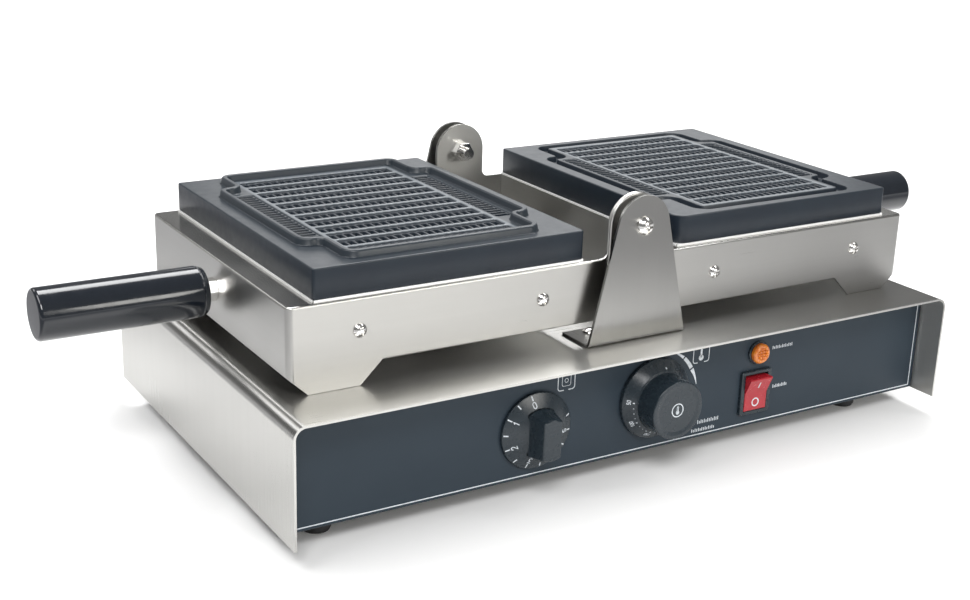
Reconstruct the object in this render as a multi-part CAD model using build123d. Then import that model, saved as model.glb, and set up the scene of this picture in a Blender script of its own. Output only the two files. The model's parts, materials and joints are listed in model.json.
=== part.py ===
from build123d import *
import os
from math import acos, atan2, cos, hypot, radians, sin

# Double-plate waffle maker that opens like a book: two heated halves hang on one
# cross axis between two uprights and lie open on a steel base with the controls.
# Frame: origin on the table under the middle of the base, +X to the right for a
# person at the controls, +Y to the back, +Z up. Millimetres.

# ---- base ----
BASE_WIDTH = 500.0
BASE_DEPTH = 295.0
BASE_TOP = 87.0
BASE_BOTTOM = 12.2
SHEET = 1.5
COVER_BEND = 8.0
PANEL_RECESS = 20.5
PANEL_FLANGE = 30.0
FOOT_LEFT, FOOT_RIGHT = -217.0, 203.0
FOOT_Y = 104.0
FOOT_RADIUS = 9.0
COVER_FLANGE = (14.0, 188.0)
COVER_SCREW_X, COVER_SCREW_Y = 241.0, 60.0
GROMMET_X, GROMMET_Y = 20.0, 62.0
SCREW_HOLE = 2.1

# ---- halves, given for the right one; the left one is it turned half round ----
PIVOT_Z = BASE_TOP + 75.2
ARM_RADIUS = 19.5
HALF_END = 235.8
HALF_INNER = 36.5
OUTER_PLANE = 110.8
INNER_PLANE = 109.0
HALF_TOP = BASE_TOP + 53.7
HALF_EDGE = BASE_TOP + 13.4
REST_GAP = 0.2
WALL_BEND = 4.0
TOP_BEND = 1.4
WALL_SCREW_X = (66.5, 191.0)
WALL_SCREW_Z = BASE_TOP + 34.0

# ---- waffle plates ----
PLATE_X0 = HALF_INNER
PLATE_X1 = 219.2
PLATE_HALF_DEPTH = 107.0
PLATE_TOP = BASE_TOP + 73.7
SEAT_THICK = 1.5
SEAT_BORDER = 0.4
MITRE_GAP = 0.8
PLATE_CORNER = 1.5
PIVOT_CORNER = 9.0
RING_WIDE = (163.0, 135.0)
RING_NARROW = (136.0, 200.0)
GROOVE_WIDTH = 7.5
GROOVE_DEPTH = 4.5
LIP_SIDE_PLAY = 1.0
LIP_HEIGHT = 4.5
ROWS = 12
ROW_PITCH = 14.9
COLUMNS = 21
COLUMN_PITCH = 5.25
SIDE_CELLS = 22
SIDE_PITCH = 5.08
SIDE_OFFSET = 65.0
CELL_LENGTH = 10.6
CELL_WIDTH = 3.5
CELL_DEPTH = 5.0

# ---- handles ----
HANDLE_Z = BASE_TOP + 33.0
GRIP_START = 243.5
GRIP_END = 346.5
GRIP_RADIUS = 16.0
ROD_RADIUS = 4.0

# ---- uprights and pivots ----
UPRIGHT_FACE = 119.3
UPRIGHT_THICK = 2.0
UPRIGHT_HALF_WIDTH = 37.8
UPRIGHT_FOOT = 29.0
UPRIGHT_SCREW_X = 22.0
UPRIGHT_SCREW_Y = 98.0
UPRIGHT_BEND = 3.2
BOLT_RADIUS = 4.0
RUNNING_CLEARANCE = 0.05
SIDE_GAP = 0.3

# ---- controls, on the front panel ----
TIMER_X, TIMER_Z = -80.6, 44.6
THERMO_X, THERMO_Z = 10.0, 49.2
LAMP_X, LAMP_Z = 96.0, 65.3
SWITCH_X, SWITCH_Z = 95.5, 37.5
KNOB_GAP = 0.8
SHAFT_RADIUS = 3.0
ROCKER_RADIUS = 13.2
ROCKER_TILT = 12.0
SWITCH_BEZEL = (25.5, 31.0)

# ---- cord inlet, at the back ----
GLAND_X, GLAND_Z = -170.0, 40.0
GLAND_BORE = 4.5
GLAND_REACH = 26.0

# ---- derived ----
INSIDE_X = BASE_WIDTH / 2 - SHEET
PANEL_FACE = BASE_DEPTH / 2 - PANEL_RECESS
PAN_FLOOR = BASE_BOTTOM + SHEET
PLATE_BOTTOM = HALF_TOP + SEAT_THICK
PLATE_MID = (PLATE_X0 + PLATE_X1) / 2
FLANGE_UNDER = HALF_TOP - SHEET
COVER_UNDER = HALF_EDGE + SHEET
TRAY_UNDER = COVER_UNDER + SHEET


# ---------------------------------------------------------------- helpers
def block(x0, x1, y0, y1, z0, z1):
    """A box from its lowest to its highest corner."""
    middle = ((x0 + x1) / 2, (y0 + y1) / 2, (z0 + z1) / 2)
    return Pos(*middle) * Box(abs(x1 - x0), abs(y1 - y0), abs(z1 - z0))


def face_out(point, direction):
    """The place whose own +Z looks along direction at point, with its own +Y up."""
    across = (1, 0, 0) if direction[0] == 0 else (0, 1, 0)
    return Plane(origin=point, x_dir=across, z_dir=direction).location


def rod(start, direction, radius, length):
    """A round bar from start along direction."""
    return face_out(start, direction) * Pos(0, 0, length / 2) * Cylinder(radius, length)


def hex_bar(start, direction, across_flats, length):
    """A hexagonal bar from start along direction."""
    outline = RegularPolygon(across_flats / 2, 6, major_radius=False)
    return face_out(start, direction) * extrude(outline, length)


def dome_screw(point, outward, head_radius, head_height, shank_radius, shank_length):
    """A cross-recessed dome-head screw whose head sits on point, facing outward."""
    crown = (head_radius * 0.72, head_height * 0.78)
    head = make_face(
        Line((0, 0), (head_radius, 0))
        + Line((head_radius, 0), (head_radius, head_height * 0.22))
        + ThreePointArc((head_radius, head_height * 0.22), crown, (0, head_height))
        + Line((0, head_height), (0, 0))
    )
    body = revolve(Plane.XZ * head, Axis.Z)
    slot = Box(head_radius * 1.1, head_radius * 0.24, head_height * 0.9)
    recess = Pos(0, 0, head_height) * (slot + Rot(0, 0, 90) * slot)
    shank = Pos(0, 0, -shank_length / 2) * Cylinder(shank_radius, shank_length)
    return face_out(point, outward) * (body - recess + shank)


def nut(start, direction, across_flats, thickness, hole_radius):
    """A hexagon nut that starts at start and grows along direction."""
    bar = hex_bar(start, direction, across_flats, thickness)
    return bar - rod(start, direction, hole_radius, thickness)


def half_turn(shape):
    """The same piece on the other half: turned half round about the Z axis."""
    return Rot(0, 0, 180) * shape


def save(name, shape):
    """Write one node."""
    solids = shape.solids()
    whole = solids[0] if len(solids) == 1 else Compound(children=list(solids))
    whole.label = name
    export_step(whole, f"parts/{name}.step")


def save_pair(name, shape):
    """Write a piece of the right half and its twin on the left half."""
    save(f"right_{name}", shape)
    save(f"left_{name}", half_turn(shape))


# ---------------------------------------------------------------- base enclosure
def foot_places():
    return [(x, y) for x in (FOOT_LEFT, FOOT_RIGHT) for y in (-FOOT_Y, FOOT_Y)]


def cover_screw_places():
    return [(x, y) for x in (-COVER_SCREW_X, COVER_SCREW_X)
            for y in (-COVER_SCREW_Y, COVER_SCREW_Y)]


def upright_screw_places():
    reach = (-UPRIGHT_SCREW_X, UPRIGHT_SCREW_X)
    return [(x, y) for x in reach for y in (-UPRIGHT_SCREW_Y, UPRIGHT_SCREW_Y)]


def grommet_places():
    return [(-GROMMET_X, GROMMET_Y), (GROMMET_X, GROMMET_Y)]


def cover_outline(inset):
    """Cover section seen from the front, rounded along both top edges."""
    height = BASE_TOP - BASE_BOTTOM - inset
    middle = BASE_BOTTOM + height / 2
    outline = Pos(0, middle) * Rectangle(BASE_WIDTH - 2 * inset, height)
    return fillet(outline.vertices().group_by(Axis.Y)[-1], COVER_BEND - inset)


def base_cover():
    section = Plane.XZ * (cover_outline(0) - cover_outline(SHEET))
    cover = extrude(section, BASE_DEPTH / 2, both=True)
    width, length = COVER_FLANGE
    for side in (-1, 1):
        edge = side * INSIDE_X
        cover += block(edge, edge - side * width, -length / 2, length / 2, BASE_BOTTOM, PAN_FLOOR)
    for x, y in cover_screw_places():
        cover -= rod((x, y, BASE_BOTTOM - 1), (0, 0, 1), SCREW_HOLE, 4)
    for x, y in upright_screw_places():
        cover -= rod((x, y, BASE_TOP - 4), (0, 0, 1), 2.6, 6)
    for x, y in grommet_places():
        cover -= rod((x, y, BASE_TOP - 4), (0, 0, 1), 6.0, 6)
    return cover


def folded_panel(side):
    """Upright sheet with a flange turned inward under the pan; side -1 is the front."""
    face = side * PANEL_FACE
    inner = side * (PANEL_FACE - SHEET)
    reach = side * (PANEL_FACE - SHEET - PANEL_FLANGE)
    width = INSIDE_X - 0.2
    panel = block(-width, width, face, inner, BASE_BOTTOM, BASE_TOP - SHEET - 0.2)
    upper = panel.edges().filter_by(Axis.Y).group_by(Axis.Z)[-1]
    panel = fillet(upper, COVER_BEND)
    panel += block(-width, width, inner, reach, BASE_BOTTOM, PAN_FLOOR)
    bends = panel.edges().filter_by(Axis.X)
    outer = bends.sort_by(lambda e: abs(e.center().Y - face) + abs(e.center().Z - BASE_BOTTOM))
    panel = fillet(outer[0], SHEET)
    for x, y in foot_places():
        panel -= rod((x, y, BASE_BOTTOM - 1), (0, 0, 1), SCREW_HOLE, 4)
    return panel


def control_panel():
    panel = folded_panel(-1)
    back = -PANEL_FACE + SHEET + 1
    panel -= rod((TIMER_X, back, TIMER_Z), (0, -1, 0), 4.2, 4)
    panel -= rod((THERMO_X, back, THERMO_Z), (0, -1, 0), 5.2, 4)
    panel -= rod((LAMP_X, back, LAMP_Z), (0, -1, 0), 6.2, 4)
    width, height = 22.4, 27.4
    cut = Pos(SWITCH_X, -PANEL_FACE, SWITCH_Z) * Box(width, 6, height)
    return panel - cut


def rear_panel():
    panel = folded_panel(1)
    panel -= rod((GLAND_X, PANEL_FACE - 4, GLAND_Z), (0, 1, 0), 9.7, 6)
    vent = extrude(SlotOverall(46, 4), 6, both=True)
    for middle in (-60.0, 60.0, 170.0):
        for row in range(6):
            height = 30.0 + 8.0 * row
            panel -= Pos(middle, PANEL_FACE, height) * Rot(90, 0, 0) * vent
    return panel


def bottom_pan():
    width = INSIDE_X - 0.2
    depth = PANEL_FACE - SHEET - 0.2
    top = PAN_FLOOR + SHEET
    pan = block(-width, width, -depth, depth, PAN_FLOOR, top)
    for side in (-1, 1):
        pan += block(side * width, side * (width - SHEET), -depth, depth, PAN_FLOOR, top + 18)
    vent = Pos(0, 0, PAN_FLOOR) * extrude(SlotOverall(70, 6), 6, both=True)
    for middle in (-150.0, 0.0, 150.0):
        for row in range(-3, 4):
            pan -= Pos(middle, 14.0 * row, 0) * vent
    for x, y in foot_places() + cover_screw_places():
        pan -= rod((x, y, PAN_FLOOR - 1), (0, 0, 1), SCREW_HOLE, 4)
    return pan


def rubber_feet():
    outline = make_face(Polyline(
        (0, 0), (FOOT_RADIUS - 1, 0), (FOOT_RADIUS, 2), (FOOT_RADIUS, BASE_BOTTOM),
        (0, BASE_BOTTOM), close=True))
    foot = revolve(Plane.XZ * outline, Axis.Z)
    foot -= Pos(0, 0, 2.5) * Cylinder(4.6, 5)
    foot -= Pos(0, 0, BASE_BOTTOM / 2) * Cylinder(2.1, BASE_BOTTOM + 2)
    return Compound(children=[Pos(x, y, 0) * foot for x, y in foot_places()])


def foot_screws():
    return Compound(children=[
        dome_screw((x, y, 5), (0, 0, -1), 4, 2.6, 2, 16) for x, y in foot_places()])


def cover_screws():
    return Compound(children=[
        dome_screw((x, y, BASE_BOTTOM), (0, 0, -1), 3.8, 2.4, 2, 8)
        for x, y in cover_screw_places()])


def wire_grommets():
    profile = make_face(Polyline(
        (4.2, -3.5), (8.5, -3.5), (8.5, -1.5), (5.9, -1.5), (5.9, 0), (8.5, 0),
        (7.6, 2.4), (4.2, 2.4), close=True))
    ring = Pos(0, 0, BASE_TOP) * revolve(Plane.XZ * profile, Axis.Z)
    return Compound(children=[Pos(x, y, 0) * ring for x, y in grommet_places()])


# ---------------------------------------------------------------- uprights and pivots
def upright_silhouette():
    """Tapered sides that run tangent into the round top."""
    height = PIVOT_Z - BASE_TOP
    reach = hypot(UPRIGHT_HALF_WIDTH, height)
    angle = atan2(-height, UPRIGHT_HALF_WIDTH) + acos(ARM_RADIUS / reach)
    tangent = (ARM_RADIUS * cos(angle), PIVOT_Z + ARM_RADIUS * sin(angle))
    mirrored = (-tangent[0], tangent[1])
    left, right = (-UPRIGHT_HALF_WIDTH, BASE_TOP), (UPRIGHT_HALF_WIDTH, BASE_TOP)
    return make_face(
        Line(left, right)
        + Line(right, tangent)
        + ThreePointArc(tangent, (0, PIVOT_Z + ARM_RADIUS), mirrored)
        + Line(mirrored, left)
    )


def front_upright():
    """Bent plate: upright face, rounded bend, foot turned inward on the cover."""
    face, top = -UPRIGHT_FACE, PIVOT_Z + ARM_RADIUS + 5
    inner = face + UPRIGHT_THICK
    section = make_face(Polyline(
        (face, BASE_TOP), (face, top), (inner, top), (inner, BASE_TOP + UPRIGHT_THICK),
        (face + UPRIGHT_FOOT, BASE_TOP + UPRIGHT_THICK), (face + UPRIGHT_FOOT, BASE_TOP),
        close=True))
    low = section.vertices().filter_by(lambda v: v.X < inner + 0.1 and v.Y < top - 1)
    outer = low.sort_by(Axis.Y)[0]
    section = fillet(outer, UPRIGHT_BEND)
    corner = section.vertices().filter_by(
        lambda v: abs(v.X - inner) < 0.1 and abs(v.Y - BASE_TOP - UPRIGHT_THICK) < 0.1)
    section = fillet(corner, UPRIGHT_BEND - UPRIGHT_THICK)
    bent = extrude(Plane.YZ * section, UPRIGHT_HALF_WIDTH, both=True)
    bent &= extrude(Plane.XZ * upright_silhouette(), 200, both=True)
    bent += block(-UPRIGHT_HALF_WIDTH, UPRIGHT_HALF_WIDTH, face + UPRIGHT_BEND + 0.5, face + UPRIGHT_FOOT,
                  BASE_TOP, BASE_TOP + UPRIGHT_THICK)
    bent -= rod((0, face - 1, PIVOT_Z), (0, 1, 0), BOLT_RADIUS + 0.1, 6)
    for x in (-UPRIGHT_SCREW_X, UPRIGHT_SCREW_X):
        bent -= rod((x, -UPRIGHT_SCREW_Y, BASE_TOP - 1), (0, 0, 1), 2.6, 5)
    return bent


def upright_screws():
    seat = BASE_TOP + UPRIGHT_THICK
    return Compound(children=[
        dome_screw((x, y, seat), (0, 0, 1), 4.6, 2.8, 2.5, 14)
        for x, y in upright_screw_places()])


def upright_nuts():
    under = BASE_TOP - SHEET
    return Compound(children=[
        nut((x, y, under), (0, 0, -1), 8, 4, 2.55) for x, y in upright_screw_places()])


def on_both_sides(front):
    """A front pivot piece and its twin at the back."""
    return Compound(children=[front, half_turn(front)])


def pivot_bolts():
    front = dome_screw(
        (0, -UPRIGHT_FACE, PIVOT_Z), (0, -1, 0), 6.2, 4.6, BOLT_RADIUS, 25)
    return on_both_sides(front)


def pivot_spacers():
    start = -UPRIGHT_FACE + UPRIGHT_THICK
    length = -OUTER_PLANE - SIDE_GAP - start
    tube = rod((0, start, PIVOT_Z), (0, 1, 0), 8, length)
    tube -= rod((0, start - 1, PIVOT_Z), (0, 1, 0), BOLT_RADIUS + 0.1, length + 2)
    return on_both_sides(tube)


def pivot_nuts():
    start = -INNER_PLANE + SHEET + SIDE_GAP
    ring = nut((0, start, PIVOT_Z), (0, 1, 0), 13, 6.5, BOLT_RADIUS + 0.1)
    return on_both_sides(ring)


# ---------------------------------------------------------------- one heated half
def half_silhouette():
    """Side outline of a half: pivot arm, straight edge, foot and outer corner."""
    rest = BASE_TOP + REST_GAP
    arm, corner, join = ARM_RADIUS, 6.0, 5.0
    lower = make_face(Polyline(
        (-arm, PIVOT_Z), (-arm, HALF_EDGE), (177, HALF_EDGE), (190.5, rest),
        (223.5, rest), (HALF_END, BASE_TOP + 11.6), (HALF_END, HALF_TOP),
        (arm, HALF_TOP), (arm, PIVOT_Z), close=True))
    inner = lower.vertices().filter_by(
        lambda v: abs(v.X - arm) < 0.1 and abs(v.Y - HALF_TOP) < 0.1)
    lower = fillet(inner, join)
    heel = lower.vertices().filter_by(
        lambda v: abs(v.X + arm) < 0.1 and abs(v.Y - HALF_EDGE) < 0.1)
    lower = fillet(heel, corner)
    return lower + Pos(0, PIVOT_Z) * Circle(arm)


def half_plan(inset):
    """Outline of the three walls from above, open towards the pivot."""
    x0, x1 = -60.0, HALF_END - inset
    y0, y1 = -OUTER_PLANE + inset, INNER_PLANE - inset
    outline = Pos((x0 + x1) / 2, (y0 + y1) / 2) * Rectangle(x1 - x0, y1 - y0)
    return fillet(outline.vertices().group_by(Axis.X)[-1], WALL_BEND - inset)


def bend_top(shell):
    """Rounds the outside of the fold between the walls and the top flange."""
    def on_fold(edge):
        middle = edge.center()
        if abs(middle.Z - HALF_TOP) > 0.01 or middle.X < PLATE_X0 + 10:
            return False
        reach = (middle.X - HALF_END, -middle.Y - OUTER_PLANE, middle.Y - INNER_PLANE)
        return max(reach) > -WALL_BEND / 2
    return fillet(shell.edges().filter_by(on_fold), TOP_BEND)


def housing():
    walls = extrude(Pos(0, 0, BASE_TOP) * (half_plan(0) - half_plan(SHEET)), 110)
    shell = walls & extrude(Plane.XZ * half_silhouette(), 200, both=True)
    rim = extrude(Pos(0, 0, FLANGE_UNDER) * half_plan(SHEET / 2), SHEET)
    rim -= block(-70, HALF_INNER + 1.7, -120, 120, FLANGE_UNDER - 1, HALF_TOP + 1)
    rim -= block(0, 207.5, -OUTER_PLANE + 11.5, INNER_PLANE - 11.5,
                 FLANGE_UNDER - 1, HALF_TOP + 1)
    shell = bend_top(shell + rim)
    shell -= rod((0, -130, PIVOT_Z), (0, 1, 0), BOLT_RADIUS + RUNNING_CLEARANCE, 260)
    shell -= rod((225, 0, HANDLE_Z), (1, 0, 0), ROD_RADIUS + 0.2, 20)
    for x in WALL_SCREW_X:
        shell -= rod((x, -130, WALL_SCREW_Z), (0, 1, 0), SCREW_HOLE, 260)
    return shell


def inner_wall():
    """Upright sheet below the plate's inner edge, with a flange at top and bottom."""
    y0, y1 = -OUTER_PLANE + SHEET + 0.1, INNER_PLANE - SHEET - 0.1
    x0 = HALF_INNER
    wall = block(x0, x0 + SHEET, y0, y1, HALF_EDGE, HALF_TOP)
    wall += block(x0, x0 + 11, y0 + 10.2, y1 - 10.2, FLANGE_UNDER, HALF_TOP)
    wall += block(x0, x0 + 9, y0, y1, HALF_EDGE, COVER_UNDER)
    return wall - rod((x0 - 2, -62, BASE_TOP + 30), (1, 0, 0), 5, 6)


def tray_screw_places():
    return [(x, y) for x in (58.0, 206.0) for y in (-101.0, 99.0)]


def bottom_cover():
    y0, y1 = -OUTER_PLANE + SHEET + 0.1, INNER_PLANE - SHEET - 0.1
    sheet = block(HALF_INNER + 2, HALF_END - SHEET - 3, y0, y1, COVER_UNDER, TRAY_UNDER)
    vent = Pos(0, 0, COVER_UNDER) * extrude(SlotOverall(60, 5, rotation=90), 6, both=True)
    for column in range(9):
        sheet -= Pos(85.0 + 13.0 * column, 0, 0) * vent
    for x, y in tray_screw_places():
        sheet -= rod((x, y, COVER_UNDER - 1), (0, 0, 1), SCREW_HOLE, 4)
    return sheet


def heat_tray():
    """Tray that carries the insulation; its side flanges take the wall screws."""
    y0, y1 = -OUTER_PLANE + SHEET + 0.1, INNER_PLANE - SHEET - 0.1
    x0, x1, top = 45.0, 222.0, BASE_TOP + 43.0
    tray = block(x0, x1, y0, y1, TRAY_UNDER, TRAY_UNDER + SHEET)
    for edge, side in ((y0, 1), (y1, -1)):
        tray += block(x0, x1, edge, edge + side * SHEET, TRAY_UNDER, top)
    for x in WALL_SCREW_X:
        tray -= rod((x, -130, WALL_SCREW_Z), (0, 1, 0), SCREW_HOLE, 260)
    for x, y in tray_screw_places():
        tray -= rod((x, y, TRAY_UNDER - 1), (0, 0, 1), SCREW_HOLE, 4)
    return tray


def insulation():
    blanket = block(64, 200, -94, 92, TRAY_UNDER + SHEET, BASE_TOP + 42)
    return fillet(blanket.edges().filter_by(Axis.Z), 8)


def wall_screws():
    screws = []
    for x in WALL_SCREW_X:
        front = (x, -OUTER_PLANE, WALL_SCREW_Z)
        back = (x, INNER_PLANE, WALL_SCREW_Z)
        screws.append(dome_screw(front, (0, -1, 0), 4.3, 2.6, 2, 8))
        screws.append(dome_screw(back, (0, 1, 0), 4.3, 2.6, 2, 8))
    return Compound(children=screws)


def tray_screws():
    return Compound(children=[
        dome_screw((x, y, COVER_UNDER), (0, 0, -1), 3.8, 2.2, 2, 8)
        for x, y in tray_screw_places()])


def plate_seat():
    """Thin bright frame that the plate sits on, open over the heater."""
    width = PLATE_X1 - PLATE_X0 + 2 * SEAT_BORDER
    depth = 2 * (PLATE_HALF_DEPTH + SEAT_BORDER)
    seat = Rectangle(width, depth) - Rectangle(width - 22, depth - 20)
    for x, y, turn in ((1, 1, 45), (-1, 1, 135), (-1, -1, 225), (1, -1, 315)):
        seat -= Pos(x * width / 2, y * depth / 2) * Rot(0, 0, turn) * Rectangle(10, MITRE_GAP)
    placed = Pos(PLATE_MID, 0, HALF_TOP) * seat
    return extrude(placed, SEAT_THICK)


def plus_outline(inset, radius):
    """Rectangle with its four corners notched, all corners rounded."""
    wide = Rectangle(RING_WIDE[0] - 2 * inset, RING_WIDE[1] - 2 * inset)
    narrow = Rectangle(RING_NARROW[0] - 2 * inset, RING_NARROW[1] - 2 * inset)
    outline = wide + narrow
    return fillet(outline.vertices(), radius)


def baking_cells():
    """Long narrow pockets: rows across the middle, one ladder along each side."""
    across = SlotOverall(CELL_LENGTH, CELL_WIDTH, rotation=90)
    along = SlotOverall(CELL_LENGTH, CELL_WIDTH)
    cells = []
    for row in range(ROWS):
        y = (row - (ROWS - 1) / 2) * ROW_PITCH
        for column in range(COLUMNS):
            x = (column - (COLUMNS - 1) / 2) * COLUMN_PITCH
            cells.append(Pos(x, y) * across)
    for cell in range(SIDE_CELLS):
        y = (cell - (SIDE_CELLS - 1) / 2) * SIDE_PITCH
        cells.append(Pos(-SIDE_OFFSET, y) * along)
        cells.append(Pos(SIDE_OFFSET, y) * along)
    return [extrude(cell, -CELL_DEPTH) for cell in cells]


def waffle_plate(with_lip):
    """Cast plate with baking cells inside a sealing lip or its matching groove."""
    width, thick = PLATE_X1 - PLATE_X0, PLATE_TOP - PLATE_BOTTOM
    plate = extrude(Rectangle(width, 2 * PLATE_HALF_DEPTH), -thick)
    uprights = plate.edges().filter_by(Axis.Z).sort_by(lambda e: e.center().X + e.center().Y)
    plate = fillet(uprights[1:], PLATE_CORNER)
    near_pivot = plate.edges().filter_by(Axis.Z).sort_by(lambda e: e.center().X + e.center().Y)[0]
    plate = fillet(near_pivot, PLATE_CORNER if with_lip else PIVOT_CORNER)
    plate = fillet(plate.faces().sort_by(Axis.Z)[-1].edges(), 0.8)
    plate -= baking_cells()
    if with_lip:
        outer = plus_outline(LIP_SIDE_PLAY, 5.5)
        inner = plus_outline(GROOVE_WIDTH - LIP_SIDE_PLAY, 3)
        lip = extrude(outer - inner, LIP_HEIGHT)
        crest = lip.faces().sort_by(Axis.Z)[-1].edges()
        plate += chamfer(crest, 1.2)
    else:
        groove = plus_outline(0, 6) - plus_outline(GROOVE_WIDTH, 3)
        plate -= extrude(groove, -GROOVE_DEPTH)
    return Pos(PLATE_MID, 0, PLATE_TOP) * plate


def heater():
    """Tubular element in four runs under the plate, with its two terminal pins."""
    z = PLATE_BOTTOM - 4.3
    start, turn, end = 60.0, 78.0, 198.0
    outer, inner = 66.0, 22.0
    corners = [
        (start, -outer, z), (end, -outer, z), (end, -inner, z), (turn, -inner, z),
        (turn, inner, z), (end, inner, z), (end, outer, z), (start, outer, z)]
    path = FilletPolyline(*corners, radius=18)
    section = Plane(origin=path @ 0, z_dir=path % 0) * Circle(4)
    element = sweep(section, path=path)
    for y in (-outer, outer):
        element += rod((start, y, z), (-1, 0, 0), 1.6, 10)
    return element


def heater_clamps():
    """Two bars that press the element against the plate."""
    top = PLATE_BOTTOM - 8.4
    return Compound(children=[
        block(x - 7, x + 7, -88, 88, top - 3, top) for x in (105.0, 168.0)])


def handle_rod():
    return rod((224, 0, HANDLE_Z), (1, 0, 0), ROD_RADIUS, 112)


def handle_nuts():
    inside = nut((HALF_END - SHEET, 0, HANDLE_Z), (-1, 0, 0), 13, 6.5, ROD_RADIUS + 0.1)
    outside = nut((HALF_END, 0, HANDLE_Z), (1, 0, 0), 13, 6.5, ROD_RADIUS + 0.1)
    return Compound(children=[inside, outside])


def handle_grip():
    length = GRIP_END - GRIP_START
    grip = Cylinder(GRIP_RADIUS, length)
    grip = fillet(grip.faces().sort_by(Axis.Z)[-1].edges(), 4)
    grip = fillet(grip.faces().sort_by(Axis.Z)[0].edges(), 1.5)
    grip -= Pos(0, 0, -8) * Cylinder(ROD_RADIUS + 0.1, length)
    middle = ((GRIP_START + GRIP_END) / 2, 0, HANDLE_Z)
    return face_out(middle, (1, 0, 0)) * grip


def thermostat_bulb():
    """Sensing bulb of the thermostat, held against the underside of the right plate."""
    return rod((128, 0, PLATE_BOTTOM - 3.4), (1, 0, 0), 3, 30)


# ---------------------------------------------------------------- controls
def lathe(points, place):
    """A turned piece from its half section, standing along place's +Z."""
    return place * revolve(Plane.XZ * make_face(Polyline(*points, close=True)), Axis.Z)


def timer_knob():
    place = face_out((TIMER_X, -PANEL_FACE - KNOB_GAP, TIMER_Z), (0, -1, 0))
    skirt = lathe([(5, 3), (5, 0), (25, 0), (25, 1.6), (14, 6.5), (0, 6.5), (0, 3)], place)
    bar = Pos(0, 0, 10) * (Box(13, 40, 20) & Cone(16.6, 12.9, 20))
    bar = fillet(bar.faces().sort_by(Axis.Z)[-1].edges(), 1.2)
    grip = place * (bar - Pos(0, 0, 1.5) * Cylinder(5, 3))
    bore = place * (Pos(0, 0, 8) * Cylinder(SHAFT_RADIUS + 0.05, 16))
    return skirt + grip - bore


def thermostat_knob():
    place = face_out((THERMO_X, -PANEL_FACE - KNOB_GAP, THERMO_Z), (0, -1, 0))
    knob = lathe([
        (6.5, 3), (6.5, 0), (27, 0), (27, 2.2), (20.5, 8), (19.25, 8.6), (19.25, 24),
        (18, 25.2), (16.5, 25.2), (12, 24.5), (0, 24.5), (0, 3)], place)
    return knob - place * (Pos(0, 0, 8) * Cylinder(SHAFT_RADIUS + 0.05, 16))


def control_shaft(x, z):
    """Spindle that turns with a knob, from inside the control into the knob."""
    return rod((x, -PANEL_FACE + 16, z), (0, -1, 0), SHAFT_RADIUS, 31)


def control_body(x, z, width, height, depth, neck):
    """Timer or thermostat case behind the panel with its neck through the hole."""
    back = -PANEL_FACE + SHEET
    case = block(x - width / 2, x + width / 2, back, back + depth, z - height / 2, z + height / 2)
    case = fillet(case.edges().filter_by(Axis.Y), 3)
    case += rod((x, back, z), (0, -1, 0), neck, SHEET + 2.4)
    case -= rod((x, -PANEL_FACE - 5, z), (0, 1, 0), SHAFT_RADIUS + RUNNING_CLEARANCE, 22)
    for lug in (-1, 1):
        case += block(x + lug * 8 - 3, x + lug * 8 + 3, back + depth, back + depth + 8,
                      z + 6, z + 6.8)
    return case


def timer_body():
    return control_body(TIMER_X, TIMER_Z, 44, 44, 32, 4)


def thermostat_body():
    return control_body(THERMO_X, THERMO_Z, 46, 40, 36, 5)


def lamp_housing():
    place = face_out((LAMP_X, -PANEL_FACE, LAMP_Z), (0, -1, 0))
    return lathe([
        (0, -20), (6, -20), (6, 0), (8, 0), (8, 1.2), (7.3, 1.8), (5, 1.8), (5, -4),
        (0, -4)], place)


def lamp_lens():
    place = face_out((LAMP_X, -PANEL_FACE, LAMP_Z), (0, -1, 0))
    return lathe([
        (0, -3.9), (4.9, -3.9), (4.9, 1.9), (6.9, 1.9), (6.9, 4.2), (5.6, 6.2), (3, 7.4),
        (0, 7.8)], place)


def switch_housing():
    width, height = SWITCH_BEZEL
    front = -PANEL_FACE
    bezel = Pos(0, 0) * Rectangle(width, height)
    bezel = fillet(bezel.vertices(), 1.5)
    frame = face_out((SWITCH_X, front, SWITCH_Z), (0, -1, 0)) * extrude(bezel, 2.6)
    frame = fillet(frame.faces().sort_by(Axis.Y)[0].edges(), 0.8)
    case = block(SWITCH_X - 11, SWITCH_X + 11, front, front + 26,
                 SWITCH_Z - 13.5, SWITCH_Z + 13.5)
    body = frame + case
    body -= block(SWITCH_X - 9.8, SWITCH_X + 9.8, front - 6, front + 15,
                  SWITCH_Z - 13.7 + 0.6, SWITCH_Z + 13.7 - 0.6)
    body -= rod((SWITCH_X - 10.4, front - 0.6, SWITCH_Z), (1, 0, 0), 1.55, 20.8)
    for pin in (-8, 0, 8):
        body += block(SWITCH_X - 3, SWITCH_X + 3, front + 26, front + 34,
                      SWITCH_Z + pin - 0.4, SWITCH_Z + pin + 0.4)
    return body


def switch_rocker():
    """Two-faced rocker on a cross pin, drawn with its lower end pressed in."""
    radius = ROCKER_RADIUS - 0.5
    depth, rise = 6.0, 2.2
    swing = radians(ROCKER_TILT)
    crest = radius * sin(swing) / cos(swing)
    outline = make_face(Polyline(
        (-depth, -radius * 0.8), (rise + crest, -radius), (rise, 0), (rise + crest, radius),
        (-depth, radius * 0.8), close=True))
    outline = outline & Circle(radius + 0.15)
    rocker = extrude(outline, 9.5, both=True)
    pins = Cylinder(1.5, 20.6)
    centre = (SWITCH_X, -PANEL_FACE - 0.6, SWITCH_Z)
    upright = Plane(origin=centre, x_dir=(0, -1, 0), z_dir=(-1, 0, 0)).location
    return upright * Rot(0, 0, -ROCKER_TILT) * (rocker + pins)


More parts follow.
